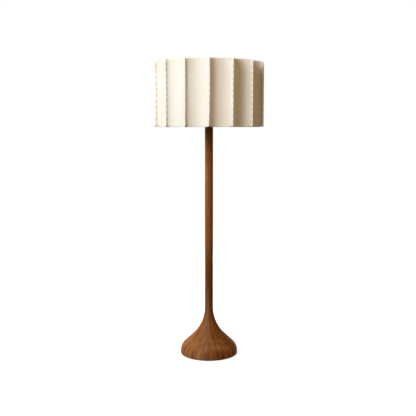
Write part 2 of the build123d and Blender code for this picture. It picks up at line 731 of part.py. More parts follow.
def shade_ring(height):
    """A wire bent to the panels' backs: a curve behind each panel, a tight bend at each rib."""
    radius = ring_radius()
    share = radius / (radius + RING_BEND_R)
    bend = along_rib(bend_centre(), 1)
    touch = (bend[0] * share, FLUTE_CENTRE + (bend[1] - FLUTE_CENTRE) * share)
    tip = along_rib(bend_centre() + RING_BEND_R, 1)
    turn = cos(2 * HALF), sin(2 * HALF)
    after = (-touch[0] * turn[0] + touch[1] * turn[1], touch[0] * turn[1] + touch[1] * turn[0])
    curve = ThreePointArc((-touch[0], touch[1]), (0, FLUTE_CENTRE - radius), touch)
    corner = ThreePointArc(touch, tip, after)
    arcs = [arc for i in range(RIBS) for arc in (to_panel(curve, -i), to_panel(corner, -i))]
    path = Pos(0, 0, height) * Wire(arcs)
    start = path.position_at(0)
    return sweep(Plane(origin=start, z_dir=path.tangent_at(0)) * Circle(RING_WIRE_R), path=path)


def ring_height(top):
    return SHADE_TOP - RING_EDGE if top else SHADE_BOTTOM + RING_EDGE


def shade_struts():
    """An upright wire behind each rib, butted between the two rings."""
    x, y = along_rib(bend_centre() + RING_BEND_R, 1)
    low = ring_height(False) + RING_WIRE_R + WELD_GAP
    high = ring_height(True) - RING_WIRE_R - WELD_GAP
    strut = Pos(x, y, low) * extrude(Circle(STRUT_R), high - low)
    return [to_panel(strut, i) for i in range(RIBS)]


def spider():
    """Hub and three arms. Each arm ends upright against the inside of the top ring."""
    hub = tube(HUB_R, STUD_THREAD_R + FIT_GAP, HUB_BOTTOM, HUB_TOP)
    start = STUD_REST_R + ARM_GAP
    end = VALLEY_R - PANEL_T - SOFT_GAP - 2 * RING_WIRE_R - WELD_GAP - ARM_R
    points = [(start, 0, HUB_MIDDLE), (end, 0, HUB_MIDDLE), (end, 0, ring_height(True) + RING_WIRE_R)]
    path = FilletPolyline(points, radius=ARM_BEND_R)
    arm = sweep(Plane(origin=points[0], z_dir=(1, 0, 0)) * Circle(ARM_R), path=path)
    for one in round_the_axis(arm, SPIDER_ARMS, FIRST_ARM):
        hub += one
    return hub


def write(name, shape):
    """Writes one node. A list becomes a group of separate solids."""
    if isinstance(shape, list):
        shape = Compound(children=shape)
    export_step(shape, f"parts/{name}.step")


def build():
    write("felt_pad", felt_pad())
    write("base_cover", base_cover())
    write("base_cover_screws", base_cover_screws())
    write("base_bell", base_bell())
    write("base_weight", base_weight())
    write("clamp_washer", clamp_washer())
    write("clamp_nut", clamp_nut())
    write("cord_inlet", cord_inlet())
    write("inlet_nut", inlet_nut())
    write("pole", pole())
    write("threaded_tube", threaded_tube())
    write("pole_cap", pole_cap())
    write("harp_saddle", harp_saddle())
    write("saddle_nut", saddle_nut())
    write("lampholder_cap", lampholder_cap())
    write("lampholder_shell", lampholder_shell())
    write("lampholder_liner", lampholder_liner())
    write("switch_block", switch_block())
    write("terminal_screws", terminal_shapes(0))
    write("screw_shell", screw_shell())
    write("centre_contact", centre_contact())
    write("switch_stem", switch_stem())
    write("switch_knob", switch_knob())
    write("bulb_screw_cap", bulb_screw_cap())
    write("bulb_contact", bulb_contact())
    write("bulb_housing", bulb_housing())
    write("bulb_globe", bulb_globe())
    write("harp", harp())
    write("harp_sleeve_left", sleeve(-1))
    write("harp_sleeve_right", sleeve(1))
    write("shade_stud", shade_stud())
    write("finial", finial())
    write("spider", spider())
    write("top_ring", shade_ring(ring_height(True)))
    write("bottom_ring", shade_ring(ring_height(False)))
    write("shade_struts", shade_struts())
    one = panel()
    for i in range(RIBS):
        write(f"panel_{i + 1:02d}", to_panel(one, i))
    write("top_binding", binding(SHADE_TOP - BINDING_W))
    write("bottom_binding", binding(SHADE_BOTTOM))
    write("rib_stitches", rib_stitches())


build()
print(f"neck top {NECK_TOP:.2f}, pole top {POLE_TOP:.2f}, shade {SHADE_BOTTOM:.2f} to {SHADE_TOP:.2f}")
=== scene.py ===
# Fabric shade floor lamp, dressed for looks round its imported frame. Metres, +Z up, the front is -Y.
import json
from math import asin, cos, pi, radians, sin, sqrt

import bpy
import numpy as np
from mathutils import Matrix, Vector

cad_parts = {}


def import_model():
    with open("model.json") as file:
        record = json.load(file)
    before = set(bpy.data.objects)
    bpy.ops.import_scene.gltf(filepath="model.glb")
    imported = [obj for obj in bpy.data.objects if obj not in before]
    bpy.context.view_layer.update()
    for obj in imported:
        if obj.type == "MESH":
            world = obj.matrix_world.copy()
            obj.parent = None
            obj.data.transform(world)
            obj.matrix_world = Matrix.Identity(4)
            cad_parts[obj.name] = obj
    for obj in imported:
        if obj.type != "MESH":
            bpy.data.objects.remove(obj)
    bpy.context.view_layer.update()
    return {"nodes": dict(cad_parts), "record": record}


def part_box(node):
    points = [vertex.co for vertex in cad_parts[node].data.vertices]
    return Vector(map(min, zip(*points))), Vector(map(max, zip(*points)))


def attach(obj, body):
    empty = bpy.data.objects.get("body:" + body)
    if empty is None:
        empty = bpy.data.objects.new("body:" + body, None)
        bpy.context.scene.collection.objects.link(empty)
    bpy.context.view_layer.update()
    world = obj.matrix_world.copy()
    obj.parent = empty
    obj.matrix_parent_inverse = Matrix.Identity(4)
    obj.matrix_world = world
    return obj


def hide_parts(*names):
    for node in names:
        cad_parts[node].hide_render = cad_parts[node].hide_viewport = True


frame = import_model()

MM = 0.001

# Shade, as the frame's first panel gives it, to a hundredth of a millimetre
panel_low, panel_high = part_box("panel_01")
SHADE_R = round(-panel_low[1], 5)  # tips of the ribs: the first one points straight to the front
SHADE_BOTTOM = round(panel_low[2], 5)
SHADE_TOP = round(panel_high[2], 5)
SHADE_H = SHADE_TOP - SHADE_BOTTOM

# Shade, with the sizes that its solids have
RIBS = 15
PANEL_ANGLE = radians(360 / RIBS)
FIRST_RIB = radians(-90)
FLANGE = 13 * MM  # how far a folded edge stands out
VALLEY_R = 242 * MM  # deepest line of a panel
PANEL_T = 1.2 * MM
PANEL_W = 145.2 * MM  # a panel's cloth laid flat, from tip to tip of its flanges
RING_WIRE_R = 1.6 * MM
RING_GAP = 0.3 * MM  # between a panel's back and the ring's wire
SPIDER_PANELS = (2, 7, 12)  # panels with an arm of the spider behind their middle

# How the cloth lies
SEAM_GAP = 0.06 * MM  # half the gap between the two layers of a rib
LIP = 0.25 * MM  # how far each layer leans away from the other at the tip
FOLD_IN = 4.5 * MM  # where the flange starts to bend into the flute, from the fold's corner
FOLD_OUT = 7.83 * MM  # where that bend ends in the flute, sideways from the corner
FOLD_SHARE = 0.12  # of a tip's lean that its fold follows
RELAX = 0.5 * MM  # how far a panel's middle stands out half way up
RELAX_SHARE = (0.4, 1.2)  # least and most of that on a panel
WAVE_LIFT = 0.22 * MM
WAVES = ((1.3, 70 * MM), (2.6, 45 * MM))  # how many up the shade, and one's length across it
PANEL_ROWS, FLUTE_COLUMNS = 41, 37
FLANGE_POINTS, FOLD_POINTS = 5, 9

# Each rib's lean at the bottom, the middle and the top, in millimetres, anticlockwise as seen from
# above, by the rib's number anticlockwise from the front. The ribs at the back lean at random.
RIB_LEAN = {
    0: (-0.5, 2.9, 2.9),
    1: (-0.6, 0.2, 0.9),
    2: (4.2, 4.0, 4.4),
    3: (0.8, 1.4, 1.6),
    -1: (0.6, 1.0, 1.0),
    -2: (1.8, 1.6, 0.2),
    -3: (0.6, -0.4, -1.0),
    -4: (-0.8, 0.6, 0.4),
}
MOST_BACK_LEAN = 1.5

# Tape round the top and the bottom edges
TAPE_T = 0.4 * MM
TAPE_OUTER_LEG = 9 * MM
TAPE_INNER_LEG = 6.5 * MM
TAPE_GAP = 0.25 * MM  # to the cloth on one side and to the ring's wire on the other
TAPE_SPRING = 0.9 * MM  # how far inside the shade's edge the roll begins
TAPE_END = 7.5 * MM  # sideways from a panel's corner
TAPE_CUT = 0.62  # of the half circle that is left where the tape is cut short
RIB_TAPER = 9 * MM  # over which it comes back to its whole length beside a rib
ARM_CLEAR = 3.4 * MM  # from the middle of an arm to where the tape starts to come back
ARM_TAPER = 2.5 * MM
TAPE_ROWS, TAPE_COLUMNS = 27, 61

# Running stitch
STITCHES = 11
STITCH_TOP = 22 * MM  # middle of the top stitch, from the shade's edge
STITCH_BOTTOM = 10 * MM
STITCH_INSET = 6.5 * MM  # from the rib's tip
STITCH_TAIL = 0.27  # of the pitch, the thread past the middle of its first and last stitch
STITCH_HARDNESS = 5.0  # how fast the thread dives between two stitches
THREAD_R = 0.7 * MM
THREAD_LIFT = 0.55  # of its radius, between the cloth and the thread's middle
THREAD_WANDER = 0.25 * MM
WANDER_LENGTH = 110 * MM
THREAD_RINGS, THREAD_SIDES = 270, 8

# Turned wood, one trunk for the pole and the base
HEART = (-0.10, 0.30)  # middle of the trunk's rings
TRUNK_TILT = (radians(2.5), radians(-3.0), 0)
RING_PITCH = 11 * MM
RING_WANDER = 60 * MM
STREAK_TURN = radians(45)  # turns the streaks of the slope round the axis
# Painted light: the gain by which the wood's left side is drawn lighter than its plain tones
PAINTED_SIDE_LIGHT_GAIN = 1.55  # how much paler the wood's left side is than its plain tones

# Seeds of the random draws
LEAN_SEED = 100
PANEL_SEED = 40
THREAD_SEED = 300

# Studio
FLOOR_REACH = 30.0
LAMP_AIM = Vector((0, 0, 1.0))
LAMP_DISTANCE = 3.2
TALL, BROAD, LOW, SQUARE = (0.85, 1.9), (1.2, 1.9), (1.2, 1.6), (1.6, 1.6)  # sizes of the lamps
CAMERA_BACK = 3.695
CAMERA_HEIGHT = 1.1787
CAMERA_LEFT = 0.0050
CAMERA_DOWN = radians(6.397)
SENSOR_MM, LENS_MM = 36, 62.56


# Shaders


def tint(red, green, blue):
    """A colour written as a screen shows it, 0 to 255, as the linear light that shaders work in."""
    share = np.array([red, green, blue]) / 255
    light = np.where(share <= 0.04045, share / 12.92, ((share + 0.055) / 1.055) ** 2.4)
    return (*light.tolist(), 1.0)


class Value:
    """A number or vector that a finish works out. Arithmetic on it adds Math nodes."""

    def __init__(self, finish, socket):
        self.finish = finish
        self.socket = socket

    def output(self, name):
        """Another output of the node that this one comes from."""
        return Value(self.finish, self.socket.node.outputs[name])

    def math(self, operation, *values):
        return self.finish.node("Math", {"operation": operation}, dict(enumerate(values)))

    def __add__(self, other):
        return self.math("ADD", self, other)

    def __sub__(self, other):
        return self.math("SUBTRACT", self, other)

    def __rsub__(self, other):
        return self.math("SUBTRACT", other, self)

    def __mul__(self, other):
        return self.math("MULTIPLY", self, other)

    __radd__ = __add__
    __rmul__ = __mul__

    def sine(self):
        return self.math("SINE", self)

    def size(self):
        return self.math("ABSOLUTE", self)

    def fraction(self):
        return self.math("FRACT", self)

    def most(self, other):
        return self.math("MAXIMUM", self, other)


class Finish:
    """A material or a world in the making. Its nodes are added by node(), which takes settings first."""

    def __init__(self, name, kept_in="materials"):
        self.owner = getattr(bpy.data, kept_in).new(name)
        self.owner.use_nodes = True
        self.tree = self.owner.node_tree
        self.tree.nodes.clear()

    def node(self, kind, settings=None, inputs=None, output=0):
        """Adds a node of a type, with its settings and the values or links of its sockets."""
        made = self.tree.nodes.new("ShaderNode" + kind)
        for key, value in (settings or {}).items():
            if key == "stops":
                self.set_stops(made.color_ramp, value)
            else:
                setattr(made, key, value)
        for key, value in (inputs or {}).items():
            if isinstance(value, Value):
                self.tree.links.new(value.socket, made.inputs[key])
            else:
                made.inputs[key].default_value = value
        return Value(self, made.outputs[output]) if made.outputs else None

    def set_stops(self, ramp, stops):
        while len(ramp.elements) < len(stops):
            ramp.elements.new(1.0)
        for element, (place, colour) in zip(ramp.elements, stops):
            element.position = place
            element.color = colour

    def place(self, kind="Object"):
        return self.node("TexCoord", output=kind)

    def lengths(self):
        """A piece's own lengths in metres, across it and along it. Round a thread it is a share."""
        across = self.node("SeparateXYZ", None, {0: self.place("UV")}, output="X")
        return across, across.output("Y")

    def moved(self, place, scale=(1, 1, 1), turn=(0, 0, 0), shift=(0, 0, 0)):
        moves = {"Vector": place, "Location": shift, "Rotation": turn, "Scale": scale}
        return self.node("Mapping", None, moves)

    def noise(self, place, scale, detail=3.0, rough=0.55, warp=0.0):
        sizes = {"Vector": place, "Scale": scale, "Detail": detail, "Roughness": rough, "Distortion": warp}
        return self.node("TexNoise", None, sizes)

    def vector(self, operation, first, second=(0, 0, 0)):
        return self.node("VectorMath", {"operation": operation}, {0: first, 1: second})

    def length(self, vector):
        return self.node("VectorMath", {"operation": "LENGTH"}, {0: vector}, output="Value")

    def ramp(self, value, *stops):
        """The value through a ramp between grey levels, or between colours."""
        full = [(p, c if isinstance(c, tuple) else (c, c, c, 1.0)) for p, c in stops]
        return self.node("ValToRGB", {"stops": full}, {"Fac": value})

    def mix(self, share, first, second):
        return self.node("Mix", {"data_type": "RGBA"}, {0: share, 6: first, 7: second}, output=2)

    def blend(self, share, first, second):
        """Two shaders, with a share of the second."""
        return self.node("MixShader", None, {0: share, 1: first, 2: second})

    def bump(self, height, distance, strength):
        return self.node("Bump", None, {"Height": height, "Distance": distance, "Strength": strength})

    def surface(self, colour, roughness, bump=None, **sockets):
        """The Principled shader of this finish."""
        inputs = {"Base Color": colour, "Roughness": roughness}
        if bump is not None:
            inputs["Normal"] = bump
        inputs.update({key.replace("_", " "): value for key, value in sockets.items()})
        return self.node("BsdfPrincipled", None, inputs)

    def seen(self):
        """1 for a ray from the camera, from a mirror or through glass, and 0 for any other."""
        camera = self.node("LightPath", output="Is Camera Ray")
        mirrored = camera.output("Is Glossy Ray")
        return camera.most(mirrored.most(camera.output("Is Transmission Ray")))

    def done(self, shader, kind="OutputMaterial"):
        self.node(kind, None, {"Surface": shader})
        return self.owner


def shade_fabric():
    """Cream cloth: a fine plain weave with a few thicker threads, on the piece's own lengths.

    The weave's height is a warp thread's round back where it passes over and a weft thread's
    where that passes over, and which is on top changes with the product of two sines. The cloth
    is drawn paler on the folded edges, where its distance from the nearer edge is small, as a
    painted highlight along the ribs."""
    f = Finish("shade_fabric")
    pitch = 0.62 * MM
    u, v = f.lengths()
    across = (u * (pi / pitch)).sine()
    along = (v * (pi / pitch)).sine()
    over = across * along * 0.5 + 0.5
    weave = over * across.size() + (1.0 - over) * along.size()
    uv = f.place("UV")
    slub_u = f.noise(f.moved(uv, scale=(12, 900, 1)), 1.0, 2.0)
    slub_v = f.noise(f.moved(uv, scale=(900, 9, 1)), 1.0, 2.0)
    slubs = slub_u * 0.5 + slub_v * 0.5
    cloud = f.noise(f.place(), 9.0, 4.0)
    from_edge = (PANEL_W / 2 - (u - PANEL_W / 2).size()) * (1 / FLANGE)
    colour = f.mix(f.ramp(slubs, (0.36, 0.0), (0.64, 1.0)), tint(245, 240, 229), tint(252, 249, 242))
    colour = f.mix(f.ramp(cloud, (0.35, 0.0), (0.7, 0.25)), colour, tint(243, 235, 218))
    colour = f.mix((1.0 - weave) * 0.08, colour, tint(206, 190, 160))
    # Painted highlight: the folded edges of the ribs are drawn paler than the rest of the cloth
    colour = f.mix(f.ramp(from_edge, (0.3, 1.0), (0.5, 0.0)), colour, tint(255, 254, 249))
    bump = f.bump(weave * 0.7 + slubs * 0.6, 0.12 * MM, 0.55)
    cloth = f.surface(colour, 0.86, bump, Specular_IOR_Level=0.25)
    glow = f.node("BsdfTranslucent", None, {"Color": tint(246, 224, 186)})
    return f.done(f.blend(0.1, cloth, glow))


def binding_tape():
    """The same cream as a narrow twill tape: slanting ridges on the tape's own lengths."""
    f = Finish("binding_tape")
    pitch = 0.7 * MM
    u, v = f.lengths()
    twill = ((u + v) * (pi / pitch)).sine().size()
    slubs = f.noise(f.moved(f.place("UV"), scale=(40, 900, 1)), 1.0, 2.0)
    colour = f.mix(f.ramp(slubs, (0.3, 0.0), (0.7, 1.0)), tint(242, 234, 218), tint(249, 245, 235))
    colour = f.mix((1.0 - twill) * 0.15, colour, tint(190, 172, 140))
    bump = f.bump(twill + slubs * 0.5, 0.1 * MM, 0.5)
    return f.done(f.surface(colour, 0.85, bump, Specular_IOR_Level=0.25))


def brown_thread():
    """Waxed two-ply thread: its strands wind round it, from the share round it and the length along."""
    f = Finish("brown_thread")
    twist = 1.7 * MM
    u, v = f.lengths()
    ply = (u * (2 * pi) + v * (pi / twist)).sine().size()
    fuzz = f.noise(f.place(), 1500.0, 2.0)
    colour = f.mix(ply, tint(104, 70, 36), tint(154, 116, 72))
    colour = f.mix(f.ramp(fuzz, (0.4, 0.0), (0.7, 0.4)), colour, tint(176, 144, 98))
    bump = f.bump(ply + fuzz * 0.3, 0.25 * MM, 0.8)
    return f.done(f.surface(colour, 0.62, bump))


def trunk_rings(f, trunk, height):
    """A trunk's growth rings, and the broad tones that follow them.

    A ring is a saw-tooth of the distance from the heart, pushed about by slow noise, that darkens
    slowly and ends sharply. The tones are noise of that distance, which hardly changes with height."""
    slow = f.noise(f.moved(trunk, scale=(1, 1, 0.2)), 5.0, 2.0, 0.5)
    reach = f.length(f.vector("MULTIPLY", trunk, (1, 1, 0))) + (slow - 0.5) * RING_WANDER
    tooth = (reach * (1 / RING_PITCH)).fraction()
    ring = f.ramp(tooth, (0.0, 0.0), (0.5, 0.3), (0.84, 1.0), (0.93, 0.9), (1.0, 0.0))
    broad = f.noise(f.node("CombineXYZ", None, {"X": reach, "Z": height * 0.04}), 42.0, 2.0)
    return ring, broad


def walnut():
    """Oiled wood, one trunk for the pole and the base: flat sawn, its heart behind and to the left.

    Over the rings and their tones lie long fibre, fine hair and short pores, which are noise of the
    trunk stretched upwards, and streaks and a few dark marks that run down the turned slope. Their
    noise reads the direction from the axis, and the height less the radius. A darker patch of
    heartwood crosses the lower pole. The left side is drawn lighter and the right side darker, as
    painted light: the tones are scaled by a ramp of how far the surface faces to the right. A greyer
    band down the base, left of its middle, is a painted highlight."""
    f = Finish("walnut")
    trunk = f.moved(f.place(), shift=(-HEART[0], -HEART[1], 0), turn=TRUNK_TILT)
    height = f.node("SeparateXYZ", None, {0: f.place()}, output="Z")
    ring, broad = trunk_rings(f, trunk, height)
    fibre = f.noise(f.moved(trunk, scale=(1, 1, 0.035)), 130.0, 4.0, 0.65)
    hair = f.noise(f.moved(trunk, scale=(1, 1, 0.02)), 620.0, 3.0, 0.6)
    pore = f.ramp(f.noise(f.moved(trunk, scale=(1, 1, 0.035)), 900.0, 1.0), (0.60, 0.0), (0.68, 1.0))

    flat = f.vector("MULTIPLY", f.place(), (1, 1, 0))
    bearing = f.vector("NORMALIZE", flat)
    lift = f.node("CombineXYZ", None, {"Z": (height - f.length(flat)) * 0.8})
    slope = f.moved(f.vector("ADD", bearing, lift), turn=(0, 0, STREAK_TURN))
    flow = f.noise(slope, 13.0, 3.0, 0.6)
    mark = f.ramp(f.noise(f.moved(slope, shift=(3, 1, 7)), 17.0, 1.0), (0.60, 0.0), (0.68, 1.0))

    colour = f.ramp(broad, (0.3, tint(128, 75, 33)), (0.5, tint(152, 95, 46)), (0.68, tint(176, 118, 66)))
    colour = f.mix(ring * 0.2, colour, tint(98, 52, 16))
    colour = f.mix(f.ramp(flow, (0.36, 0.62), (0.52, 0.0)), colour, tint(96, 52, 18))
    colour = f.mix(f.ramp(flow, (0.5, 0.0), (0.66, 0.5)), colour, tint(188, 132, 80))
    colour = f.mix(f.ramp(fibre, (0.35, 0.32), (0.6, 0.0)), colour, tint(98, 54, 18))
    colour = f.mix(f.ramp(hair, (0.35, 0.35), (0.7, 0.0)), colour, tint(108, 60, 22))
    colour = f.mix(mark * 0.6, colour, tint(62, 30, 8))
    colour = f.mix(pore * 0.5, colour, tint(44, 23, 10))
    patch = f.ramp(height, (0.12, 0.0), (0.30, 0.6), (0.46, 0.68), (0.64, 0.1))
    colour = f.mix(patch, colour, tint(74, 36, 8))

    # Painted light and shade: the tones are scaled lighter on the left side and darker on the right, by how
    # far the surface faces to the right
    facing = f.node("SeparateXYZ", None, {0: bearing}, output="X") * 0.5 + 0.5
    pale = f.ramp(facing, (0.1, 1.0), (0.42, 0.77), (0.6, 0.71), (0.9, 0.66)) * PAINTED_SIDE_LIGHT_GAIN
    colour = f.node("VectorMath", {"operation": "SCALE"}, {0: colour, "Scale": pale})
    # Painted highlight: a greyer band down the base's flank, left of its middle, where the key light's sheen
    # falls
    second_tone_and_painted_sheen = f.ramp(facing, (0.08, 0.03), (0.34, 0.2), (0.6, 0.0)) * f.ramp(height, (0.26, 1.0), (0.4, 0.0))
    colour = f.mix(second_tone_and_painted_sheen, colour, tint(180, 148, 118))
    rough = f.ramp(hair, (0.25, 0.38), (0.8, 0.52))
    bump = f.bump(hair * 0.5 + ring * 0.2 + (1.0 - pore) * 0.6, 0.10 * MM, 0.45)
    return f.done(f.surface(colour, rough, bump, Specular_IOR_Level=0.02))


def metal(name, colour, second_tone_and_painted_sheen, roughness, brushed=0.0):
    """A plain metal with faint clouds of tarnish and fine scratches."""
    f = Finish(name)
    place = f.place()
    cloud = f.noise(place, 55.0, 4.0)
    grain = f.noise(f.moved(place, scale=(1, 1, 14 if brushed else 1)), 420.0, 2.0)
    tone = f.mix(f.ramp(cloud, (0.4, 0.0), (0.72, 0.7)), colour, second_tone_and_painted_sheen)
    rough = f.ramp(cloud * 0.6 + grain * 0.4, (0.3, roughness - 0.07), (0.7, roughness + 0.1))
    bump = f.bump(grain, 0.03 * MM, 0.35 + brushed)
    return f.done(f.surface(tone, rough, bump, Metallic=1.0))


def coated(name, colour, second_tone_and_painted_sheen, roughness, grain_scale, depth, coat=0.0):
    """Paint, moulded plastic or glazed ware: an even colour with a faint second tone and a skin."""
    f = Finish(name)
    place = f.place()
    cloud = f.noise(place, 40.0, 3.0)
    grain = f.noise(place, grain_scale, 2.0)
    tone = f.mix(f.ramp(cloud, (0.38, 0.0), (0.7, 0.6)), colour, second_tone_and_painted_sheen)
    rough = f.ramp(grain, (0.3, roughness - 0.05), (0.7, roughness + 0.08))
    bump = f.bump(grain, depth, 0.5)
    return f.done(f.surface(tone, rough, bump, Coat_Weight=coat))


def felt():
    """Dense felt: two scales of tangled fibre."""
    f = Finish("felt")
    place = f.place()
    hair = f.noise(place, 1400.0, 3.0, 0.7, 2.0)
    tufts = f.noise(place, 260.0, 3.0)
    colour = f.mix(f.ramp(hair, (0.4, 0.0), (0.7, 1.0)), tint(22, 22, 23), tint(52, 51, 50))
    bump = f.bump(hair + tufts * 0.8, 0.3 * MM, 0.9)
    return f.done(f.surface(colour, 0.95, bump))


def opal():
    """Opal bulb: white with a soft gloss."""
    f = Finish("bulb_opal")
    cloud = f.noise(f.place(), 30.0, 2.0)
    colour = f.mix(cloud, tint(244, 243, 238), tint(250, 249, 245))
    return f.done(f.surface(colour, f.ramp(cloud, (0.3, 0.16), (0.7, 0.24)), Coat_Weight=0.4))


# Plain metals: the colour, the tarnish's colour, the roughness and how far the metal is brushed
METALS = {
    "zinc_steel": (tint(196, 198, 196), tint(168, 170, 160), 0.34),
    "brass": (tint(214, 178, 104), tint(178, 138, 74), 0.27),
    "plain_aluminium": (tint(212, 212, 210), tint(190, 190, 188), 0.3, 0.2),
}

# Painted, cast and moulded surfaces: the colour, a second tone, the roughness, the scale and the
# depth of the grain, and the clear coat
COATINGS = {
    "black_steel": (tint(34, 34, 35), tint(52, 50, 48), 0.55, 700, 0.05 * MM),
    "cast_iron": (tint(58, 58, 60), tint(76, 70, 64), 0.75, 320, 0.4 * MM),
    "black_plastic": (tint(30, 30, 31), tint(40, 40, 40), 0.45, 900, 0.04 * MM),
    "insulating_card": (tint(166, 138, 98), tint(142, 112, 74), 0.8, 600, 0.08 * MM),
    "bulb_white": (tint(236, 235, 230), tint(228, 226, 218), 0.4, 500, 0.02 * MM),
    "bulb_black": (tint(26, 26, 32), tint(38, 36, 44), 0.15, 300, 0.03 * MM, 0.6),
    "white_wire": (tint(232, 227, 215), tint(216, 208, 190), 0.35, 260, 0.08 * MM, 0.3),
}

FINISHES = {
    "walnut": walnut(),
    "felt": felt(),
    "bulb_opal": opal(),
    "shade_fabric": shade_fabric(),
    "binding_tape": binding_tape(),
    "brown_thread": brown_thread(),
    **{name: metal(name, *values) for name, values in METALS.items()},
    **{name: coated(name, *values) for name, values in COATINGS.items()},
}


# Meshes


def steps(count, first=0.0, last=1.0):
    """Evenly spaced numbers from the first to the last."""
    return np.linspace(first, last, count)


def grid_faces(rows, columns, wrap=False):
    """Faces of a grid of points, row by row. With wrap, the last column joins the first."""
    row, column = np.meshgrid(np.arange(rows - 1), np.arange(columns - (not wrap)), indexing="ij")
    start = row * columns + column
    beside = row * columns + (column + 1) % columns
    return np.stack([start, beside, beside + columns, start + columns], -1).reshape(-1, 4)


def grid_corners(u, v):
    """The pattern's place at the corners of a grid's faces, from lengths along its two ways."""
    v, u = np.meshgrid(v, u, indexing="ij")
    place = np.stack([u, v], -1)
    corners = [place[:-1, :-1], place[:-1, 1:], place[1:, 1:], place[1:, :-1]]
    return np.stack(corners, 2).reshape(-1, 2)


def turned_over(faces, corners):
    """The same faces, looking the other way."""
    return faces[:, ::-1], corners.reshape(-1, 4, 2)[:, ::-1].reshape(-1, 2)


def run_along(line):
    """The length along a line of points up to each of them."""
    return np.concatenate([[0], np.cumsum(np.linalg.norm(np.diff(line, axis=0), axis=1))])


def unit(vectors):
    """Vectors of length 1 the same way."""
    return vectors / np.linalg.norm(vectors, axis=1)[:, None]


def add_mesh(name, points, faces, corners=None, caps=()):
    """A mesh object at the origin, smooth, with the pattern's place at each corner of its faces.

    Caps are faces of any number of sides, which have no place in the pattern."""
    mesh = bpy.data.meshes.new(name)
    mesh.from_pydata(np.reshape(points, (-1, 3)).tolist(), [], np.asarray(faces).tolist() + list(caps))
    if corners is not None:
        layer = mesh.uv_layers.new(name="lengths")
        whole = np.zeros((len(mesh.loops), 2), np.float32)
        whole[: len(corners)] = corners
        layer.data.foreach_set("uv", whole.ravel())
    mesh.shade_smooth()
    mesh.update()
    piece = bpy.data.objects.new(name, mesh)
    bpy.context.scene.collection.objects.link(piece)
    return piece


def thicken(piece, thickness):
    """Gives a sheet its thickness, half to each side."""
    wall = piece.modifiers.new("thickness", "SOLIDIFY")
    wall.thickness = thickness
    wall.offset = 0
    wall.use_even_offset = True
    wall.use_quality_normals = True


def dress(piece, slot, body, *nodes):
    """Gives a new piece its finish, the body it rides on and the nodes it stands for."""
    piece.data.materials.clear()
    piece.data.materials.append(FINISHES[slot])
    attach(piece, body)
    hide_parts(*nodes)


# Shade


def rib_angle(k):
    """Where rib k stands round the axis. A half is the middle of the panel after it."""
    return FIRST_RIB + k * PANEL_ANGLE


def directions(angle):
    """The directions outwards and anticlockwise at an angle round the axis."""
    return np.array([cos(angle), sin(angle), 0]), np.array([-sin(angle), cos(angle), 0])


def lean_of(k):
    """A rib's lean at the bottom, the middle and the top, in metres."""
    k = (k + RIBS // 2) % RIBS - RIBS // 2
    if k in RIB_LEAN:
        return np.array(RIB_LEAN[k]) * MM
    return np.random.default_rng(LEAN_SEED + k).uniform(-MOST_BACK_LEAN, MOST_BACK_LEAN, 3) * MM


def lean(k, share):
    """A rib's lean at a share of the shade's height: a quadratic through its three values."""
    low, middle, high = lean_of(k)
    pull = 2 * middle - (low + high) / 2
    return low * (1 - share) ** 2 + 2 * pull * share * (1 - share) + high * share**2


def in_panel(index, side, out, height):
    """Points at distances outwards, and sideways towards its first rib, in a panel's own frame."""
    outward, turn = directions(rib_angle(index + 0.5))
    place = out[..., None] * outward - side[..., None] * turn
    place[..., 2] = height
    return place


def fold_corner(offset):
    """Corner between flange and flute, at a distance from the rib's plane, for a side of +1."""
    half = PANEL_ANGLE / 2
    reach = SHADE_R - FLANGE
    return reach * sin(half) - offset * cos(half), reach * cos(half) + offset * sin(half)


def flute_shape(depth):
    """Radius and centre of the arc that lies at a depth under a panel's outer face."""
    x, y = fold_corner(PANEL_T)
    sagitta = y - VALLEY_R
    radius = (x**2 + sagitta**2) / (2 * sagitta)
    return radius + depth, VALLEY_R + radius


def half_section(share, lean_tip, sign):
    """One side's flange and fold at each height: points from the tip to where the flute begins.

    The flange is straight from the tip; the fold is a quadratic curve whose middle control point is
    the corner between the flange and the flute. Only the tip, and a little the fold, follow the rib's
    lean."""
    half = PANEL_ANGLE / 2
    corner = np.array(fold_corner(PANEL_T / 2 + SEAM_GAP))
    along = np.array([sin(half), cos(half)])
    across = np.array([cos(half), -sin(half)])
    shift = -lean_tip[:, None] * across * sign
    tip = corner + along * FLANGE - across * LIP + shift
    fold = corner + shift * FOLD_SHARE
    start = fold + (tip - fold) * (FOLD_IN / FLANGE)
    radius, centre = flute_shape(PANEL_T / 2)
    end_x = corner[0] - FOLD_OUT
    end = np.array([end_x, centre - sqrt(radius**2 - end_x**2)])
    flange = tip[:, None] + (start - tip)[:, None] * steps(FLANGE_POINTS)[:-1, None]
    t = steps(FOLD_POINTS)[:, None]
    bend = start[:, None] * (1 - t) ** 2 + 2 * fold[:, None] * t * (1 - t) + end * t**2
    return np.concatenate([flange, bend], 1), end_x


def flute(index, share, x, end_x):
    """How far out a panel's flute lies, at each height and at each distance from its middle.

    It is the arc, moved outwards by a hump that is greatest half way up and in the panel's middle,
    and by a little slow waviness, two products of sines, that fades out at the edges."""
    hand = np.random.default_rng(PANEL_SEED + index)
    strength = RELAX * hand.uniform(*RELAX_SHARE)
    phases = hand.uniform(0, 2 * pi, 4).reshape(2, 2)
    wave = 0
    for (count, length), (up, across) in zip(WAVES, phases):
        wave = wave + np.sin(2 * pi * share * count + up) * np.sin(2 * pi * x / length + across)
    radius, centre = flute_shape(PANEL_T / 2)
    fade = np.sin(pi * share) * (1 - (x / end_x) ** 2)
    return centre - np.sqrt(radius**2 - x**2) + (strength + WAVE_LIFT * wave) * fade


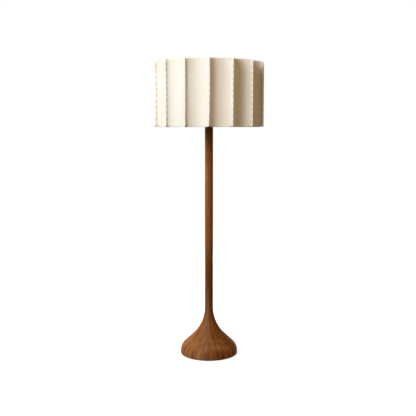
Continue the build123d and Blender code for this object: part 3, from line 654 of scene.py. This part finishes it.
def panel(index):
    """One panel: flange, fold, inward arc, fold and flange, carried up the shade."""
    share = steps(PANEL_ROWS)
    right, end_x = half_section(share, lean(index, share), 1)
    left, _ = half_section(share, lean(index + 1, share), -1)
    left = left[:, ::-1]
    x = steps(FLUTE_COLUMNS, end_x, -end_x)[1:-1]
    middle = flute(index, share[:, None], x[None], end_x)
    side = np.concatenate([right[..., 0], np.broadcast_to(x, middle.shape), -left[..., 0]], 1)
    out = np.concatenate([right[..., 1], middle, left[..., 1]], 1)
    points = in_panel(index, side, out, SHADE_BOTTOM + SHADE_H * share[:, None])
    half_way = PANEL_ROWS // 2
    across = run_along(np.stack([side[half_way], out[half_way]], -1))
    faces, corners = turned_over(grid_faces(*side.shape), grid_corners(across, share * SHADE_H))
    piece = add_mesh(f"fabric_panel_{index + 1:02d}", points, faces, corners)
    thicken(piece, PANEL_T - 2 * SEAM_GAP)
    dress(piece, "shade_fabric", "shade", f"panel_{index + 1:02d}")


def tape_section(run, roll):
    """Depth under the panel's face and rise above the roll's spring, at lengths along the section.

    The section is a straight leg outside, a half circle over the edge and a straight leg inside."""
    turn = np.clip((run - TAPE_OUTER_LEG) / roll, 0, pi)
    down = np.clip(run - TAPE_OUTER_LEG - pi * roll, 0, None)
    depth = -TAPE_GAP + roll * (1 - np.cos(turn))
    rise = np.minimum(run - TAPE_OUTER_LEG, 0) + roll * np.sin(turn) - down
    return depth, rise


def binding(name, node, edge, way):
    """Tape rolled round one edge of every panel: up outside, over the edge and the wire, down inside.

    Its section is carried along each panel's arc. It is cut short near the ribs, where the uprights
    stand, and at the spider's arms. The way is 1 at the top edge and -1 at the bottom edge."""
    roll = (PANEL_T + RING_GAP + 2 * RING_WIRE_R + 2 * TAPE_GAP) / 2
    whole = TAPE_OUTER_LEG + pi * roll + TAPE_INNER_LEG
    short = TAPE_OUTER_LEG + TAPE_CUT * pi * roll
    x_end = fold_corner(PANEL_T)[0] - TAPE_END
    x = steps(TAPE_COLUMNS, x_end, -x_end)
    past_rib = np.clip((x_end - np.abs(x)) / RIB_TAPER, 0, 1)
    past_arm = np.clip((np.abs(x) - ARM_CLEAR) / ARM_TAPER, 0, 1)
    plain = short + (whole - short) * past_rib
    notched = np.minimum(plain, short + (whole - TAPE_OUTER_LEG) * past_arm)
    radius, centre = flute_shape(0)
    points = []
    for index in range(RIBS):
        length = notched if index in SPIDER_PANELS else plain
        depth, rise = tape_section(steps(TAPE_ROWS)[:, None] * length, roll)
        out = centre - np.sqrt((radius + depth) ** 2 - x**2)
        points.append(in_panel(index, np.broadcast_to(x, out.shape), out, edge + way * (rise - TAPE_SPRING)))
    faces = grid_faces(TAPE_ROWS, TAPE_COLUMNS)
    corners = grid_corners(x_end - x, steps(TAPE_ROWS) * whole)
    if way > 0:
        faces, corners = turned_over(faces, corners)
    every = np.concatenate([faces + index * TAPE_ROWS * TAPE_COLUMNS for index in range(RIBS)])
    piece = add_mesh(name, points, every, np.tile(corners, (RIBS, 1)))
    thicken(piece, TAPE_T)
    dress(piece, "binding_tape", "shade", node)
    run = 2 * radius * asin(x_end / radius) * RIBS


def thread_line(k):
    """The middle of the thread down a rib: anticlockwise of it for a stitch, then clockwise.

    Its distance from the rib's plane is a hardened cosine of the height, so it lies flat along each
    stitch and dives through both layers between two."""
    pitch = (SHADE_H - STITCH_TOP - STITCH_BOTTOM) / (STITCHES - 1)
    tail = STITCH_TAIL * pitch
    z = steps(THREAD_RINGS, SHADE_BOTTOM + STITCH_BOTTOM - tail, SHADE_TOP - STITCH_TOP + tail)
    start = np.random.default_rng(THREAD_SEED + k).uniform(0, 6)
    radius = SHADE_R - STITCH_INSET + THREAD_WANDER * np.sin(z * 2 * pi / WANDER_LENGTH + start)
    swing = np.cos(2 * pi * (z - SHADE_BOTTOM - STITCH_BOTTOM) / pitch)
    hard = np.tanh(STITCH_HARDNESS * swing) / np.tanh(STITCH_HARDNESS)
    lean_share = 1 - (STITCH_INSET / FLANGE) * (1 - FOLD_SHARE)
    aside = (PANEL_T + THREAD_R * THREAD_LIFT) * hard + lean(k, (z - SHADE_BOTTOM) / SHADE_H) * lean_share
    out, turn = directions(rib_angle(k))
    line = radius[:, None] * out + aside[:, None] * turn
    line[:, 2] = z
    return line, out


def thread_tube(line, out):
    """Points of a tube along the line: at each of its points a circle in the plane across it."""
    tangent = unit(np.gradient(line, axis=0))
    normal = unit(np.cross(tangent, out))
    second = np.cross(normal, tangent)
    around = steps(THREAD_SIDES + 1, 0, 2 * pi)[:-1]
    ring = np.cos(around)[:, None] * second[:, None] + np.sin(around)[:, None] * normal[:, None]
    return line[:, None] + THREAD_R * ring


def rib_thread():
    """The thread of every rib as one piece, each closed at both ends."""
    points, faces, corners, caps = [], [], [], []
    count = THREAD_RINGS * THREAD_SIDES
    for k in range(RIBS):
        line, out = thread_line(k)
        start = k * count
        points.append(thread_tube(line, out))
        faces.append(grid_faces(THREAD_RINGS, THREAD_SIDES, wrap=True) + start)
        corners.append(grid_corners(steps(THREAD_SIDES + 1), run_along(line)))
        caps.append(list(range(start, start + THREAD_SIDES))[::-1])
        caps.append(list(range(start + count - THREAD_SIDES, start + count)))
    piece = add_mesh("rib_thread", points, np.concatenate(faces), np.concatenate(corners), caps)
    dress(piece, "brown_thread", "shade", "rib_stitches")


for number in range(RIBS):
    panel(number)
binding("top_edge_tape", "top_binding", SHADE_TOP, 1)
binding("bottom_edge_tape", "bottom_binding", SHADE_BOTTOM, -1)
rib_thread()


# Carried-over nodes take their slot's finish

slots = {part["node"]: part["material_slot"] for part in frame["record"]["subparts"]}
for name, node in frame["nodes"].items():
    node.data.materials.clear()
    node.data.materials.append(FINISHES[slots[name]])


# Floor, light and camera


def floor():
    """A pale floor that the camera sees white, but for the lamp's shadow close round it.

    To the camera it glows by itself and sends back a little of the light that falls on it. The glow
    rises to full white away from the lamp, where less light falls."""
    corners = FLOOR_REACH * np.array([[-1, -1, 0], [1, -1, 0], [1, 1, 0], [-1, 1, 0]])
    piece = add_mesh("floor", corners, [[0, 1, 2, 3]])
    f = Finish("floor_white")
    glow = f.ramp(f.length(f.place()), (0.25, 0.74), (1.0, 1.0))
    plain = f.node("BsdfDiffuse", None, {"Color": (0.28, 0.28, 0.27, 1.0)})
    pale = f.node("BsdfDiffuse", None, {"Color": (0.6, 0.6, 0.6, 1.0)})
    white = f.node("Emission", None, {"Color": (1, 1, 1, 1), "Strength": glow})
    bright = f.node("AddShader", None, {0: pale, 1: white})
    piece.data.materials.append(f.done(f.blend(f.seen(), plain, bright)))


def world():
    """White to the camera and in reflections, a low warm light to everything else."""
    f = Finish("studio", "worlds")
    ambient = f.node("Background", None, {"Color": (0.08, 0.056, 0.03, 1.0)})
    white = f.node("Background", None, {"Color": (1, 1, 1, 1)})
    bpy.context.scene.world = f.done(f.blend(f.seen(), ambient, white), "OutputWorld")


def softbox(name, bearing, rise, size, level, colour):
    """A rectangular soft light at a bearing and a rise in degrees, seen from what it is aimed at.

    Its level is what it adds to a surface that faces it."""
    data = bpy.data.lights.new(name, "AREA")
    data.shape = "RECTANGLE"
    data.size, data.size_y = size
    data.energy = level * pi**2 * LAMP_DISTANCE**2
    data.color = colour
    lamp = bpy.data.objects.new(name, data)
    bearing, rise = radians(bearing), radians(rise)
    way = Vector((cos(bearing) * cos(rise), sin(bearing) * cos(rise), sin(rise)))
    lamp.location = LAMP_AIM + way * LAMP_DISTANCE
    lamp.rotation_mode = "QUATERNION"
    lamp.rotation_quaternion = way.to_track_quat("Z", "Y")
    bpy.context.scene.collection.objects.link(lamp)


def camera():
    """The photograph's viewpoint: a little left of the lamp's middle, looking slightly down."""
    eye = bpy.data.cameras.new("camera")
    eye.sensor_width = SENSOR_MM
    eye.lens = LENS_MM
    made = bpy.data.objects.new("camera", eye)
    made.location = (-CAMERA_LEFT, -CAMERA_BACK, CAMERA_HEIGHT)
    made.rotation_euler = (radians(90) - CAMERA_DOWN, 0, 0)
    bpy.context.scene.collection.objects.link(made)
    bpy.context.scene.camera = made


floor()
world()
softbox("key_softbox", bearing=-127, rise=25, size=TALL, level=0.37, colour=(0.98, 0.98, 1.0))
softbox("front_softbox", bearing=-118, rise=25, size=TALL, level=0.44, colour=(1.0, 0.92, 0.78))
softbox("side_softbox", bearing=-151, rise=25, size=BROAD, level=0.26, colour=(0.47, 0.70, 1.0))
softbox("warm_fill", bearing=-20, rise=25, size=TALL, level=0.175, colour=(1.0, 0.64, 0.28))
softbox("back_left_softbox", bearing=150, rise=12, size=LOW, level=0.30, colour=(1.0, 0.92, 0.80))
softbox("back_softbox", bearing=90, rise=8, size=SQUARE, level=0.45, colour=(1.0, 0.97, 0.92))
camera()
bpy.context.scene.view_settings.view_transform = "Standard"
